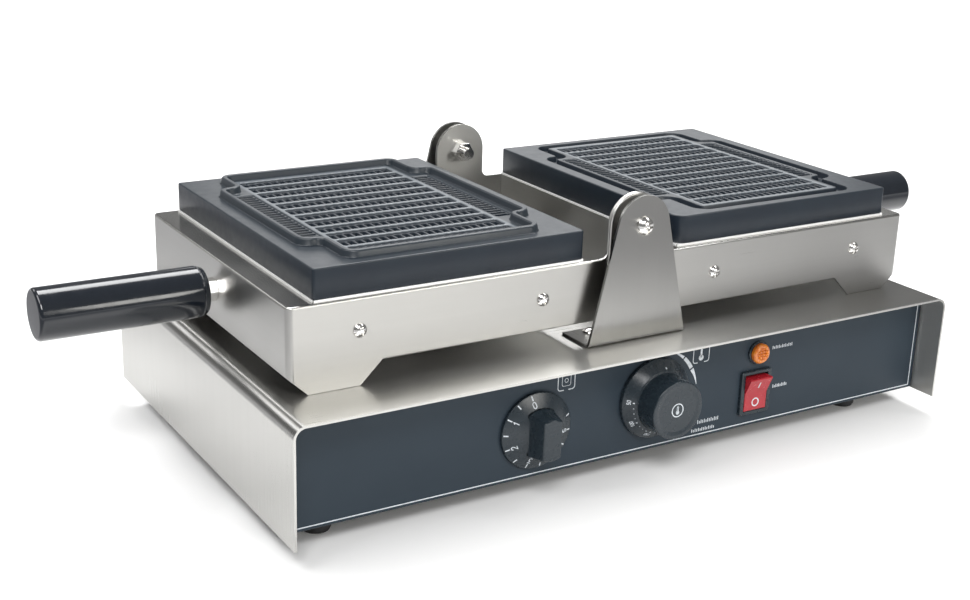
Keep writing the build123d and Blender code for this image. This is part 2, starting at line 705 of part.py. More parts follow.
def terminal_block():
    base = PAN_FLOOR + SHEET
    body = block(-165, -95, 70, 92, base, base + 18)
    body = fillet(body.edges().filter_by(Axis.Z), 1.5)
    for pole in range(5):
        x = -156.0 + 13.0 * pole
        for y in (76.0, 86.0):
            body -= rod((x, y, base + 19), (0, 0, -1), 3, 6)
    return body


# ---------------------------------------------------------------- cord inlet
def cable_gland():
    start = (GLAND_X, PANEL_FACE, GLAND_Z)
    body = hex_bar(start, (0, 1, 0), 24, 5)
    body += rod((GLAND_X, PANEL_FACE - 14, GLAND_Z), (0, 1, 0), 9.5, 26)
    return body - rod((GLAND_X, PANEL_FACE - 15, GLAND_Z), (0, 1, 0), GLAND_BORE, 40)


def gland_locknut():
    start = (GLAND_X, PANEL_FACE - SHEET, GLAND_Z)
    return nut(start, (0, -1, 0), 25, 5, 9.6)


def gland_cap():
    place = face_out((GLAND_X, PANEL_FACE, GLAND_Z), (0, 1, 0))
    cap = lathe([
        (9.6, 5.2), (12.5, 5.2), (12.5, 16), (11, 21), (7.5, GLAND_REACH),
        (GLAND_BORE, GLAND_REACH), (GLAND_BORE, 13), (9.6, 13)], place)
    rib = Pos(12.4, 0, 10.5) * Box(1.2, 1.6, 9)
    for turn in range(12):
        cap += place * (Rot(0, 0, 30 * turn) * rib)
    return cap


# ---------------------------------------------------------------- the whole machine
def main():
    os.makedirs("parts", exist_ok=True)
    save("base_cover", base_cover())
    save("control_panel", control_panel())
    save("rear_panel", rear_panel())
    save("bottom_pan", bottom_pan())
    save("rubber_feet", rubber_feet())
    save("foot_screws", foot_screws())
    save("cover_screws", cover_screws())
    save("wire_grommets", wire_grommets())

    upright = front_upright()
    save("front_upright", upright)
    save("rear_upright", half_turn(upright))
    save("upright_screws", upright_screws())
    save("upright_nuts", upright_nuts())
    save("pivot_bolts", pivot_bolts())
    save("pivot_spacers", pivot_spacers())
    save("pivot_nuts", pivot_nuts())

    save_pair("housing", housing())
    save_pair("inner_wall", inner_wall())
    save_pair("bottom_cover", bottom_cover())
    save_pair("heat_tray", heat_tray())
    save_pair("insulation", insulation())
    save_pair("wall_screws", wall_screws())
    save_pair("tray_screws", tray_screws())
    save_pair("plate_seat", plate_seat())
    save("right_waffle_plate", waffle_plate(with_lip=False))
    save("left_waffle_plate", half_turn(waffle_plate(with_lip=True)))
    save_pair("heater", heater())
    save_pair("heater_clamps", heater_clamps())
    save_pair("handle_rod", handle_rod())
    save_pair("handle_nuts", handle_nuts())
    save_pair("handle_grip", handle_grip())
    save("thermostat_bulb", thermostat_bulb())

    save("timer_knob", timer_knob())
    save("timer_shaft", control_shaft(TIMER_X, TIMER_Z))
    save("timer_body", timer_body())
    save("thermostat_knob", thermostat_knob())
    save("thermostat_shaft", control_shaft(THERMO_X, THERMO_Z))
    save("thermostat_body", thermostat_body())
    save("lamp_housing", lamp_housing())
    save("lamp_lens", lamp_lens())
    save("switch_housing", switch_housing())
    save("switch_rocker", switch_rocker())
    save("terminal_block", terminal_block())
    save("cable_gland", cable_gland())
    save("gland_locknut", gland_locknut())
    save("gland_cap", gland_cap())


main()
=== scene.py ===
import json
import math
import bmesh
import bpy
from mathutils import Matrix, Vector, geometry


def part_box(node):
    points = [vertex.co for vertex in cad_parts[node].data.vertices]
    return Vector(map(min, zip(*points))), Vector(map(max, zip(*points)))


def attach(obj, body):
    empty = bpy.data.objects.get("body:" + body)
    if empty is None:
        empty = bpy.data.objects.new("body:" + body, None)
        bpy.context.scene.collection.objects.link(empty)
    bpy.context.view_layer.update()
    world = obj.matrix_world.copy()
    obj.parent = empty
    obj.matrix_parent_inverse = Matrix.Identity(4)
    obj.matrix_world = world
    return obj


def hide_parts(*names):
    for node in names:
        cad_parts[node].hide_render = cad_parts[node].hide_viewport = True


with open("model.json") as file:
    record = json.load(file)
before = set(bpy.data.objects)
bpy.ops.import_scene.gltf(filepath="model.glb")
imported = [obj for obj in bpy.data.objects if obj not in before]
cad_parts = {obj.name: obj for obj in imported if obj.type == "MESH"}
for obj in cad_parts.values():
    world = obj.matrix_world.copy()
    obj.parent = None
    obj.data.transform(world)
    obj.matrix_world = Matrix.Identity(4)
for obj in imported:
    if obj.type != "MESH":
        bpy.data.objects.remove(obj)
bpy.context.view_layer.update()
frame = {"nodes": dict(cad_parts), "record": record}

MM = 0.001
NODES = frame["nodes"]


# ------------------------------------------------------------------ places read from the frame
def middle(node):
    low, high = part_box(node)
    return (low + high) / 2


PANEL_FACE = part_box("control_panel")[0].y
PANEL_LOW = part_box("control_panel")[0].z
PANEL_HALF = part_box("control_panel")[1].x
PLATE_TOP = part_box("right_waffle_plate")[1].z
PLATE_MIDDLE = middle("right_waffle_plate").x


# ------------------------------------------------------------------ material building
class Look:
    """A material being made: its Principled shader, and short calls that add and wire nodes."""

    def __init__(self, name, colour, roughness, metallic=0.0, **sockets):
        self.material = bpy.data.materials.new(name)
        self.material.use_nodes = True
        self.tree = self.material.node_tree
        self.shader = self.tree.nodes["Principled BSDF"]
        self.put("Base Color", (*colour, 1.0))
        self.put("Roughness", roughness)
        self.put("Metallic", metallic)
        for socket, value in sockets.items():
            self.put(socket.replace("_", " "), value)

    def put(self, socket, value):
        """Sets a constant on the shader, or wires an output to it."""
        target = self.shader.inputs[socket]
        if isinstance(value, bpy.types.NodeSocket):
            self.tree.links.new(value, target)
        else:
            target.default_value = value

    def node(self, kind, inputs=(), **settings):
        made = self.tree.nodes.new(kind)
        for key, value in settings.items():
            setattr(made, key, value)
        for key, value in dict(inputs).items():
            if isinstance(value, bpy.types.NodeSocket):
                self.tree.links.new(value, made.inputs[key])
            else:
                made.inputs[key].default_value = value
        return made

    def place(self):
        return self.node("ShaderNodeTexCoord").outputs["Object"]

    def stretched(self, scale):
        mapping = self.node("ShaderNodeMapping", {"Vector": self.place(), "Scale": scale})
        return mapping.outputs["Vector"]

    def noise(self, scale, detail=2.0, vector=None, roughness=0.5):
        if vector is None:
            vector = self.place()
        settings = {"Vector": vector, "Scale": scale, "Detail": detail, "Roughness": roughness}
        return self.node("ShaderNodeTexNoise", settings).outputs["Fac"]

    def spread(self, value, low, high, out_low, out_high):
        """Maps a value from one range to another and holds it inside."""
        limits = {"Value": value, "From Min": low, "From Max": high,
                  "To Min": out_low, "To Max": out_high}
        return self.node("ShaderNodeMapRange", limits).outputs["Result"]

    def math(self, operation, *values):
        made = self.node("ShaderNodeMath", dict(enumerate(values)), operation=operation)
        return made.outputs["Value"]

    def dot(self, vector, direction):
        made = self.node("ShaderNodeVectorMath", {0: vector, 1: direction}, operation="DOT_PRODUCT")
        return made.outputs["Value"]

    def mix(self, factor, first, second):
        made = self.node("ShaderNodeMix", data_type="RGBA")
        for index, value in ((0, factor), (6, first), (7, second)):
            if isinstance(value, bpy.types.NodeSocket):
                self.tree.links.new(value, made.inputs[index])
            elif index == 0:
                made.inputs[index].default_value = value
            else:
                made.inputs[index].default_value = (*value, 1.0)
        return made.outputs[2]

    def bump(self, height, strength, depth):
        """Raises the surface by a signal; depth is in millimetres."""
        made = self.node("ShaderNodeBump", {"Height": height, "Strength": strength,
                                            "Distance": depth * MM})
        self.put("Normal", made.outputs["Normal"])

    def pebbled(self, scale, detail, strength, depth):
        self.bump(self.noise(scale, detail), strength, depth)

    def clouded(self, scale, detail, low, high):
        """Varies the roughness in soft patches."""
        self.put("Roughness", self.spread(self.noise(scale, detail), 0.3, 0.7, low, high))

    def mottled(self, scale, detail, first, second, contrast=0.2):
        """Varies the colour in soft patches between two shades."""
        share = self.spread(self.noise(scale, detail), 0.5 - contrast, 0.5 + contrast, 0.0, 1.0)
        self.put("Base Color", self.mix(share, first, second))


STEEL_COLOUR = (0.60, 0.595, 0.575)
STEEL_ROUGHNESS = 0.29
STEEL_STRETCH = 0.88
GRAIN_FINE, GRAIN_LONG = 2600.0, 14.0
STREAK_FINE, STREAK_LONG = 260.0, 5.0
STREAK_SHADE = 0.985
SKEW = 0.03
END_GLOSS = 0.12


def along_axis(axis, value, others):
    """One value for the named axis and another for the two others."""
    return tuple(value if letter == axis else others for letter in "xyz")


def brushed_steel(name, across, tone):
    """Stainless sheet whose grain runs square to the axis named by across; tone darkens a copy as
    painted shade.
    """
    colour = tuple(tone * c for c in STEEL_COLOUR)
    look = Look(name, colour, STEEL_ROUGHNESS, metallic=1.0, Anisotropic=STEEL_STRETCH)
    grain = look.noise(1.0, 2.0, look.stretched(along_axis(across, GRAIN_FINE, GRAIN_LONG)), 0.6)
    streaks = look.noise(1.0, 2.0, look.stretched(along_axis(across, STREAK_FINE, STREAK_LONG)))
    smudges = look.spread(look.noise(11.0, 3.0), 0.35, 0.65, STEEL_ROUGHNESS - 0.01,
                          STEEL_ROUGHNESS + 0.02)
    rough = look.math("ADD", look.spread(grain, 0.3, 0.7, -0.012, 0.012), smudges)
    direction = along_axis(across, 1.0, SKEW)
    normal = look.node("ShaderNodeTexCoord").outputs["Normal"]
    facing = look.math("ABSOLUTE", look.dot(normal, direction))
    gloss = look.spread(facing, 0.8, 0.95, 0.0, END_GLOSS)
    look.put("Roughness", look.math("SUBTRACT", rough, gloss))
    darker = tuple(STREAK_SHADE * c for c in colour)
    look.put("Base Color", look.mix(look.spread(streaks, 0.35, 0.65, 0.0, 1.0), darker, colour))
    look.bump(grain, 0.05, 0.01)
    turned = look.node("ShaderNodeVectorTransform", {"Vector": direction}, vector_type="VECTOR",
                       convert_from="OBJECT", convert_to="WORLD")
    look.put("Tangent", turned.outputs["Vector"])
    return look.material


def plain_steel():
    look = Look("mill_finish_steel", (0.50, 0.50, 0.49), 0.4, metallic=1.0)
    look.clouded(35.0, 4.0, 0.32, 0.48)
    look.pebbled(900.0, 2.0, 0.08, 0.03)
    return look.material


def seat_highlight_steel():
    """Satin strip painted near-white as a painted highlight, so that it shows as a light line round
    the plate.
    """
    look = Look("seat_strip_painted_highlight", (0.95, 0.95, 0.94), 0.45, metallic=0.35)
    look.clouded(90.0, 3.0, 0.40, 0.52)
    look.pebbled(1200.0, 2.0, 0.06, 0.02)
    return look.material


def bright_nickel():
    look = Look("bright_nickel", (0.80, 0.79, 0.77), 0.14, metallic=1.0)
    look.clouded(400.0, 3.0, 0.08, 0.22)
    look.pebbled(1500.0, 2.0, 0.05, 0.02)
    return look.material


FRESH_DARK, FRESH_LIGHT = (0.007, 0.012, 0.020), (0.009, 0.016, 0.025)
# Rib tops: a lighter colour that is partly rubbed wear and partly a painted highlight, much lighter
# inside the field than at the rim.
RIM_WEAR_AND_HIGHLIGHT, FIELD_WEAR_AND_HIGHLIGHT = (0.022, 0.029, 0.037), (0.115, 0.130, 0.145)
WEAR_AND_HIGHLIGHT_FROM, WEAR_AND_HIGHLIGHT_FULL = 1.0 * MM, 0.1 * MM
FIELD_HALF_X, FIELD_HALF_Y, FIELD_FADE = 57 * MM, 91 * MM, 2 * MM


def nonstick_coating():
    """Dark blue-grey baked coating with a fine pebble, its high spots lighter: partly rubbed wear,
    partly a painted highlight.
    """
    look = Look("nonstick_coating", FRESH_LIGHT, 0.36, Specular_IOR_Level=0.38)
    fresh = look.mix(look.spread(look.noise(45.0, 4.0), 0.3, 0.7, 0.0, 1.0), FRESH_DARK,
                     FRESH_LIGHT)
    x, y, z = look.node("ShaderNodeSeparateXYZ", {0: look.place()}).outputs
    # Painted highlight and wear on the top millimetre; the walls below it stay dark.
    worn_and_lit = look.spread(z, PLATE_TOP - WEAR_AND_HIGHLIGHT_FROM, PLATE_TOP - WEAR_AND_HIGHLIGHT_FULL, 0.0, 1.0)
    from_middle = look.math("SUBTRACT", look.math("ABSOLUTE", x), PLATE_MIDDLE)
    beside = look.spread(look.math("ABSOLUTE", from_middle), FIELD_HALF_X,
                         FIELD_HALF_X + FIELD_FADE, 1.0, 0.0)
    along = look.spread(look.math("ABSOLUTE", y), FIELD_HALF_Y, FIELD_HALF_Y + FIELD_FADE,
                        1.0, 0.0)
    # Painted highlight: the tops inside the field are painted far lighter than those near the rim.
    edge = look.mix(look.math("MULTIPLY", beside, along), RIM_WEAR_AND_HIGHLIGHT, FIELD_WEAR_AND_HIGHLIGHT)
    look.put("Base Color", look.mix(worn_and_lit, fresh, edge))
    matt = look.spread(look.noise(160.0, 3.0), 0.3, 0.7, 0.36, 0.42)
    look.put("Roughness", look.math("MULTIPLY_ADD", worn_and_lit, -0.06, matt))
    look.pebbled(1700.0, 3.0, 0.18, 0.04)
    return look.material


def panel_paint():
    look = Look("panel_paint", (0.025, 0.036, 0.048), 0.46, Specular_IOR_Level=0.22)
    look.mottled(18.0, 3.0, (0.022, 0.033, 0.045), (0.026, 0.038, 0.051))
    look.pebbled(2300.0, 2.0, 0.10, 0.03)
    return look.material


def grip_plastic():
    look = Look("grip_plastic", (0.009, 0.012, 0.017), 0.16, Coat_Weight=0.3)
    look.clouded(120.0, 4.0, 0.11, 0.20)
    look.pebbled(260.0, 3.0, 0.05, 0.10)
    return look.material


def knob_plastic():
    look = Look("knob_plastic", (0.016, 0.024, 0.031), 0.27, Specular_IOR_Level=0.42)
    look.clouded(220.0, 3.0, 0.24, 0.31)
    look.pebbled(1900.0, 2.0, 0.12, 0.03)
    return look.material


def white_ink():
    look = Look("white_ink", (0.62, 0.66, 0.70), 0.55)
    look.mottled(900.0, 2.0, (0.50, 0.54, 0.58), (0.70, 0.74, 0.78))
    return look.material


def amber_plastic():
    look = Look("amber_plastic", (0.80, 0.19, 0.01), 0.12, Transmission_Weight=0.15,
                Coat_Weight=0.6, Emission_Color=(1.0, 0.22, 0.01, 1.0), Emission_Strength=0.05)
    look.mottled(420.0, 3.0, (0.54, 0.12, 0.008), (0.74, 0.25, 0.02), contrast=0.15)
    look.clouded(500.0, 2.0, 0.08, 0.2)
    return look.material


def red_plastic():
    look = Look("red_plastic", (0.38, 0.015, 0.026), 0.24, Coat_Weight=0.25)
    look.mottled(300.0, 2.0, (0.36, 0.014, 0.024), (0.40, 0.017, 0.028))
    look.clouded(500.0, 2.0, 0.22, 0.28)
    return look.material


def rubber():
    look = Look("black_rubber", (0.02, 0.021, 0.023), 0.7)
    look.clouded(300.0, 3.0, 0.6, 0.8)
    look.pebbled(1400.0, 2.0, 0.2, 0.05)
    return look.material


def grey_nylon():
    look = Look("gland_nylon", (0.03, 0.032, 0.035), 0.42)
    look.clouded(300.0, 3.0, 0.36, 0.5)
    look.pebbled(1400.0, 2.0, 0.1, 0.03)
    return look.material


def wool():
    look = Look("mineral_wool", (0.62, 0.58, 0.46), 0.95)
    look.put("Base Color", look.mix(look.noise(300.0, 5.0), (0.42, 0.38, 0.28), (0.78, 0.74, 0.62)))
    look.pebbled(700.0, 5.0, 0.8, 0.8)
    return look.material


def heater_sheath():
    look = Look("heater_sheath", (0.16, 0.13, 0.11), 0.5, metallic=0.9)
    look.put("Base Color", look.mix(look.noise(60.0, 4.0), (0.10, 0.085, 0.08), (0.24, 0.19, 0.15)))
    return look.material


def copper():
    look = Look("copper_bulb", (0.72, 0.38, 0.22), 0.3, metallic=1.0)
    look.clouded(200.0, 3.0, 0.22, 0.4)
    return look.material


def case_plastic():
    look = Look("case_plastic", (0.10, 0.10, 0.10), 0.5)
    look.clouded(300.0, 3.0, 0.42, 0.6)
    return look.material


# Three copies of one stainless, their grain running different ways; their tones are painted shade,
# the wall copy a little darker and the upright copy much darker than the cover.
STEEL_COVER = brushed_steel("brushed_steel_cover", "y", tone=0.88)
STEEL_WALL = brushed_steel("brushed_steel_wall", "z", tone=0.82)
STEEL_UPRIGHT_SHADED = brushed_steel("brushed_steel_upright_shaded", "x", tone=0.58)
PLAIN = plain_steel()
SEAT_HIGHLIGHT = seat_highlight_steel()
NICKEL = bright_nickel()
COATING = nonstick_coating()
PAINT = panel_paint()
GRIP = grip_plastic()
KNOB = knob_plastic()
INK = white_ink()
AMBER = amber_plastic()
RED = red_plastic()
SLOT_LOOK = {
    "brushed_stainless": STEEL_WALL, "plain_steel": PLAIN, "bright_fasteners": NICKEL,
    "nonstick_plate": COATING, "dark_panel": PAINT, "black_grip": GRIP, "black_knob": KNOB,
    "control_case": case_plastic(), "black_rubber": rubber(), "amber_lens": AMBER,
    "red_rocker": RED, "heater_sheath": heater_sheath(), "insulation_wool": wool(),
    "copper_bulb": copper(), "gland_nylon": grey_nylon(),
}


# ------------------------------------------------------------------ easing the CAD edges
SAME_POINT = 0.002 * MM
FLAT_ANGLE = math.radians(1.0)
SHARP_ANGLE = math.radians(32.0)


def clean_group():
    """Geometry nodes that join the CAD facets' doubled points and drop their stored normals."""
    group = bpy.data.node_groups.new("join_facets", "GeometryNodeTree")
    group.interface.new_socket("Geometry", in_out="INPUT", socket_type="NodeSocketGeometry")
    group.interface.new_socket("Geometry", in_out="OUTPUT", socket_type="NodeSocketGeometry")
    start = group.nodes.new("NodeGroupInput")
    end = group.nodes.new("NodeGroupOutput")
    last = start.outputs[0]
    for stored in ("custom_normal", "sharp_edge"):
        drop = group.nodes.new("GeometryNodeRemoveAttribute")
        drop.inputs["Name"].default_value = stored
        group.links.new(last, drop.inputs["Geometry"])
        last = drop.outputs["Geometry"]
    join = group.nodes.new("GeometryNodeMergeByDistance")
    join.inputs["Distance"].default_value = SAME_POINT
    group.links.new(last, join.inputs["Geometry"])
    smooth = group.nodes.new("GeometryNodeSetShadeSmooth")
    group.links.new(join.outputs["Geometry"], smooth.inputs["Geometry"])
    group.links.new(smooth.outputs["Geometry"], end.inputs[0])
    return group


CLEAN = clean_group()


def weigh_normals(piece):
    weigh = piece.modifiers.new("weigh", "WEIGHTED_NORMAL")
    weigh.weight = 100
    weigh.keep_sharp = True


def ease(piece, width):
    """Joins flat facets and rounds the sharp edges of a CAD piece, so that they catch light."""
    join = piece.modifiers.new("join", "NODES")
    join.node_group = CLEAN
    flat = piece.modifiers.new("flat", "DECIMATE")
    flat.decimate_type = "DISSOLVE"
    flat.angle_limit = FLAT_ANGLE
    bevel = piece.modifiers.new("ease", "BEVEL")
    bevel.width = width * MM
    bevel.segments = 2
    bevel.limit_method = "ANGLE"
    bevel.angle_limit = SHARP_ANGLE
    bevel.miter_outer = "MITER_ARC"
    bevel.use_clamp_overlap = True
    weigh_normals(piece)


def dress(node, material, width=0.0):
    """Gives a CAD piece its material, and eased edges if a width in millimetres is given."""
    piece = NODES[node]
    piece.data.materials.clear()
    piece.data.materials.append(material)
    if width:
        ease(piece, width)


def dress_all():
    """Every node gets its slot's material, then the pieces in plain sight get finer looks."""
    for sub in frame["record"]["subparts"]:
        dress(sub["node"], SLOT_LOOK[sub["material_slot"]])
    dress("base_cover", STEEL_COVER, width=0.35)
    for end in ("front", "rear"):
        dress(f"{end}_upright", STEEL_UPRIGHT_SHADED, width=0.35)
    for side in ("left", "right"):
        dress(f"{side}_housing", STEEL_WALL, width=0.3)
        dress(f"{side}_inner_wall", STEEL_WALL, width=0.3)
        dress(f"{side}_plate_seat", SEAT_HIGHLIGHT, width=0.2)
        dress(f"{side}_handle_nuts", NICKEL, width=0.3)
        dress(f"{side}_handle_rod", PLAIN)
    dress("control_panel", PAINT, width=0.3)
    dress("rear_panel", PLAIN, width=0.3)
    dress("pivot_nuts", NICKEL, width=0.3)
    dress("switch_housing", KNOB, width=0.3)
    dress("switch_rocker", RED, width=0.5)


# ------------------------------------------------------------------ mesh building
def new_piece(name, mesh_maker, body, material, stands_for=()):
    """A new object from a filled bmesh, riding on a body."""
    mesh = bpy.data.meshes.new(name)
    bmesh.ops.recalc_face_normals(mesh_maker, faces=mesh_maker.faces)
    mesh_maker.to_mesh(mesh)
    mesh_maker.free()
    mesh.materials.append(material)
    piece = bpy.data.objects.new(name, mesh)
    bpy.context.scene.collection.objects.link(piece)
    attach(piece, body)
    if stands_for:
        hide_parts(*stands_for)
    return piece


def rounded_path(corners, radii, steps):
    """Points and outward directions round a closed outline, counter-clockwise, each corner an arc."""
    path = []
    count = len(corners)
    for index, corner in enumerate(corners):
        here = Vector(corner)
        before = (here - Vector(corners[index - 1])).normalized()
        after = (Vector(corners[(index + 1) % count]) - here).normalized()
        turn = before.x * after.y - before.y * after.x
        radius = radii[index]
        start_normal = Vector((before.y, -before.x))
        end_normal = Vector((after.y, -after.x))
        side = 1.0 if turn > 0 else -1.0
        centre = here - side * radius * (start_normal + end_normal)
        for step in range(steps + 1):
            share = math.radians(90.0) * step / steps
            normal = start_normal * math.cos(share) + end_normal * math.sin(share)
            path.append((centre + side * radius * normal, normal))
    return path


def ring(work, path, offset, height):
    """One closed row of points at an offset from a path."""
    return [work.verts.new((p.x + n.x * offset, p.y + n.y * offset, height)) for p, n in path]


def skin(work, rings):
    """Quads between each closed row of points and the next."""
    for low, high in zip(rings, rings[1:]):
        count = len(low)
        for i in range(count):
            j = (i + 1) % count
            work.faces.new((low[i], low[j], high[j], high[i]))


def within(point, loop):
    """Whether a flat point lies inside a closed row of points."""
    crossed = False
    for a, b in zip(loop, loop[1:] + loop[:1]):
        if (a.y > point.y) != (b.y > point.y):
            if point.x < a.x + (b.x - a.x) * (point.y - a.y) / (b.y - a.y):
                crossed = not crossed
    return crossed


def fill(work, outer, holes):
    """Flat faces between an outer row of points and the rows inside it."""
    loops = [outer] + holes
    verts, owners, edges = [], [], []
    for number, loop in enumerate(loops):
        start = len(verts)
        verts += loop
        owners += [number] * len(loop)
        edges += [(start + i, start + (i + 1) % len(loop)) for i in range(len(loop))]
    points = [v.co.xy.copy() for v in verts]
    rows = [[v.co.xy.copy() for v in loop] for loop in loops]
    found = geometry.delaunay_2d_cdt(points, edges, [], 1, 1e-9)
    for corners in found[2]:
        source = [found[3][i][0] for i in corners]
        owner = {owners[i] for i in source}
        if len(owner) == 1 and 0 not in owner:
            centre = sum((points[i] for i in source), Vector((0.0, 0.0))) / len(source)
            if within(centre, rows[owner.pop()]):
                continue
        work.faces.new([verts[i] for i in source])


def rectangle(width, depth):
    x, y = width / 2, depth / 2
    return [(-x, -y), (x, -y), (x, y), (-x, y)]


def plus_corners(wide, narrow):
    """Corners of two crossed rectangles, counter-clockwise."""
    wx, wy = wide[0] / 2, wide[1] / 2
    nx, ny = narrow[0] / 2, narrow[1] / 2
    return [(-nx, -ny), (nx, -ny), (nx, -wy), (wx, -wy), (wx, wy), (nx, wy),
            (nx, ny), (-nx, ny), (-nx, wy), (-wx, wy), (-wx, -wy), (-nx, -wy)]


def arc_rows(work, path, top, radius, inward, steps):
    """Rows that round an edge from the flat top down to a wall; inward is +1 for a pocket."""
    rows = []
    for step in range(steps + 1):
        share = math.radians(90.0) * step / steps
        out = radius * (1 - math.sin(share))
        drop = radius * (1 - math.cos(share))
        rows.append(ring(work, path, inward * out, top - drop))
    return rows


# ------------------------------------------------------------------ waffle plates
# Millimetres, in each plate's own frame. The sealing ring follows two crossed rectangles.
PLATE_EDGE, PLATE_HEEL = 0.9, 0.4
PLATE_CORNER, PIVOT_CORNER = 2.0, 9.0
RING_WIDE = (163.0, 135.0)
RING_NARROW = (136.0, 200.0)
RING_WIDTH = 7.5
RING_BEND = 6.5
LIP_FOOT, LIP_CREST, LIP_HEIGHT = 2.9, 1.1, 4.5
GROOVE_DEPTH = 4.5
ROWS, ROW_PITCH = 12, 14.9
COLUMNS, COLUMN_PITCH = 21, 5.25
SIDE_CELLS, SIDE_PITCH, SIDE_OFFSET = 22, 5.08, 65.0
CELL_LENGTH, CELL_WIDTH, CELL_DEPTH = 10.4, 3.5, 5.0
SIDE_WIDTH = 4.0
CELL_EDGE, CELL_FLAT = 0.42, 0.25
# A cell's wall below its mouth: how far in from the mouth, and how far above the floor.
CELL_WALL = ((0.35, 0.7), (0.60, 0.15), (0.85, 0.0))
TROUGH_LENGTH, TROUGH_EDGE, TROUGH_TAPER = 12.0, 1.1, 0.25
TROUGH_CORNER, TROUGH_WAVE, TROUGH_MARGIN = 1.6, 0.5, 0.8
WAVE_STEPS = 8
ROW_BAR_DROP, SIDE_BAR_DROP = 1.3, 0.4
FLAT_ENOUGH = 0.9999


def scalloped(count, pitch, wide):
    """A trough's outline round a row of cells, its long sides drawn in where each bar meets them.

    The row lies along x. Gives points and outward directions, counter-clockwise.
    """
    last = (count - 1) / 2 * pitch
    end = last + wide / 2 + TROUGH_MARGIN
    ends = [end - TROUGH_CORNER * (1 - math.cos(math.radians(a))) for a in (0, 22.5, 45, 67.5, 90)]
    inside = [last - pitch / WAVE_STEPS * step for step in range((count - 1) * WAVE_STEPS + 1)]
    side = ends + inside + [-x for x in reversed(ends)]

    def half_length(x):
        short = max(0.0, TROUGH_CORNER - (end - abs(x)))
        corner = TROUGH_CORNER - math.sqrt(max(0.0, TROUGH_CORNER ** 2 - short ** 2))
        wave = (1 - math.cos(2 * math.pi * (x - last) / pitch)) / 2 if abs(x) <= last else 0.0
        return TROUGH_LENGTH / 2 - corner - TROUGH_WAVE * wave

    points = [Vector((x, half_length(x))) for x in side]
    points += [Vector((-x, -half_length(x))) for x in side]
    path = []
    for index, point in enumerate(points):
        along = points[(index + 1) % len(points)] - points[index - 1]
        path.append((point, Vector((along.y, -along.x)).normalized()))
    return path


def turned_path(path, quarter, shift):
    """A path turned by a quarter turn or not at all, then moved."""
    def turn(v):
        return Vector((-v.y, v.x)) if quarter else v.copy()
    return [(turn(point) + Vector(shift), turn(normal)) for point, normal in path]


def cell(work, path, level):
    """A tapered pocket with a rounded mouth and floor. Returns its mouth."""
    rows = arc_rows(work, path, level, CELL_EDGE, 1, 2)
    rows += [ring(work, path, -inward, -CELL_DEPTH + above) for inward, above in CELL_WALL]
    skin(work, rows)
    work.faces.new(rows[-1])
    return rows[0]


def cell_row(work, count, pitch, wide, quarter, shift, drop):
    """A trough between two ribs, crossed by low bars that part the cells. Returns its mouth."""
    path = turned_path(scalloped(count, pitch, wide), quarter, shift)
    rows = arc_rows(work, path, 0.0, TROUGH_EDGE, 1, 4)
    rows.append(ring(work, path, -TROUGH_TAPER, -drop))
    skin(work, rows)
    radius = wide / 2 - CELL_FLAT
    outline = rounded_path(rectangle(wide, CELL_LENGTH), [radius] * 4, 3)
    mouths = []
    for index in range(count):
        along = (index - (count - 1) / 2) * pitch
        local = turned_path(outline, False, (along, 0.0))
        mouths.append(cell(work, turned_path(local, quarter, shift), -drop))
    fill(work, rows[-1], mouths)
    return rows[0]


def cell_rows(work):
    """Every row of cells, and the two columns that fill the cross's sides."""
    mouths = []
    for row in range(ROWS):
        y = (row - (ROWS - 1) / 2) * ROW_PITCH
        mouths.append(cell_row(work, COLUMNS, COLUMN_PITCH, CELL_WIDTH, False, (0.0, y),
                               ROW_BAR_DROP))
    for x in (-SIDE_OFFSET, SIDE_OFFSET):
        mouths.append(cell_row(work, SIDE_CELLS, SIDE_PITCH, SIDE_WIDTH, True, (x, 0.0),
                               SIDE_BAR_DROP))
    return mouths


def sealing_lip(work, path):
    """A raised lip that narrows to a rounded crest. Returns its outer and inner foot.

    Half its section is given as (distance from the path, height).
    """
    half = [(LIP_FOOT + 0.5, 0.0), (LIP_FOOT, 0.15), (LIP_FOOT - 0.35, 0.6),
            (LIP_CREST + 0.9, LIP_HEIGHT - 1.1), (LIP_CREST + 0.45, LIP_HEIGHT - 0.35),
            (LIP_CREST - 0.2, LIP_HEIGHT)]
    rows = [ring(work, path, out, z) for out, z in half]
    rows += [ring(work, path, -out, z) for out, z in reversed(half)]
    skin(work, rows)
    return rows[0], rows[-1]


def sealing_groove(work, path):
    """The channel that the other plate's lip drops into. Returns its outer and inner mouth.

    Half its section is given as (distance from the path, height).
    """
    mouth = RING_WIDTH / 2
    half = [(mouth + 0.5, 0.0), (mouth + 0.15, -0.15), (mouth, -0.5),
            (mouth - 0.7, -GROOVE_DEPTH + 0.8), (mouth - 1.0, -GROOVE_DEPTH + 0.2),
            (mouth - 1.6, -GROOVE_DEPTH)]
    rows = [ring(work, path, out, z) for out, z in half]
    rows += [ring(work, path, -out, z) for out, z in reversed(half)]
    skin(work, rows)
    return rows[0], rows[-1]


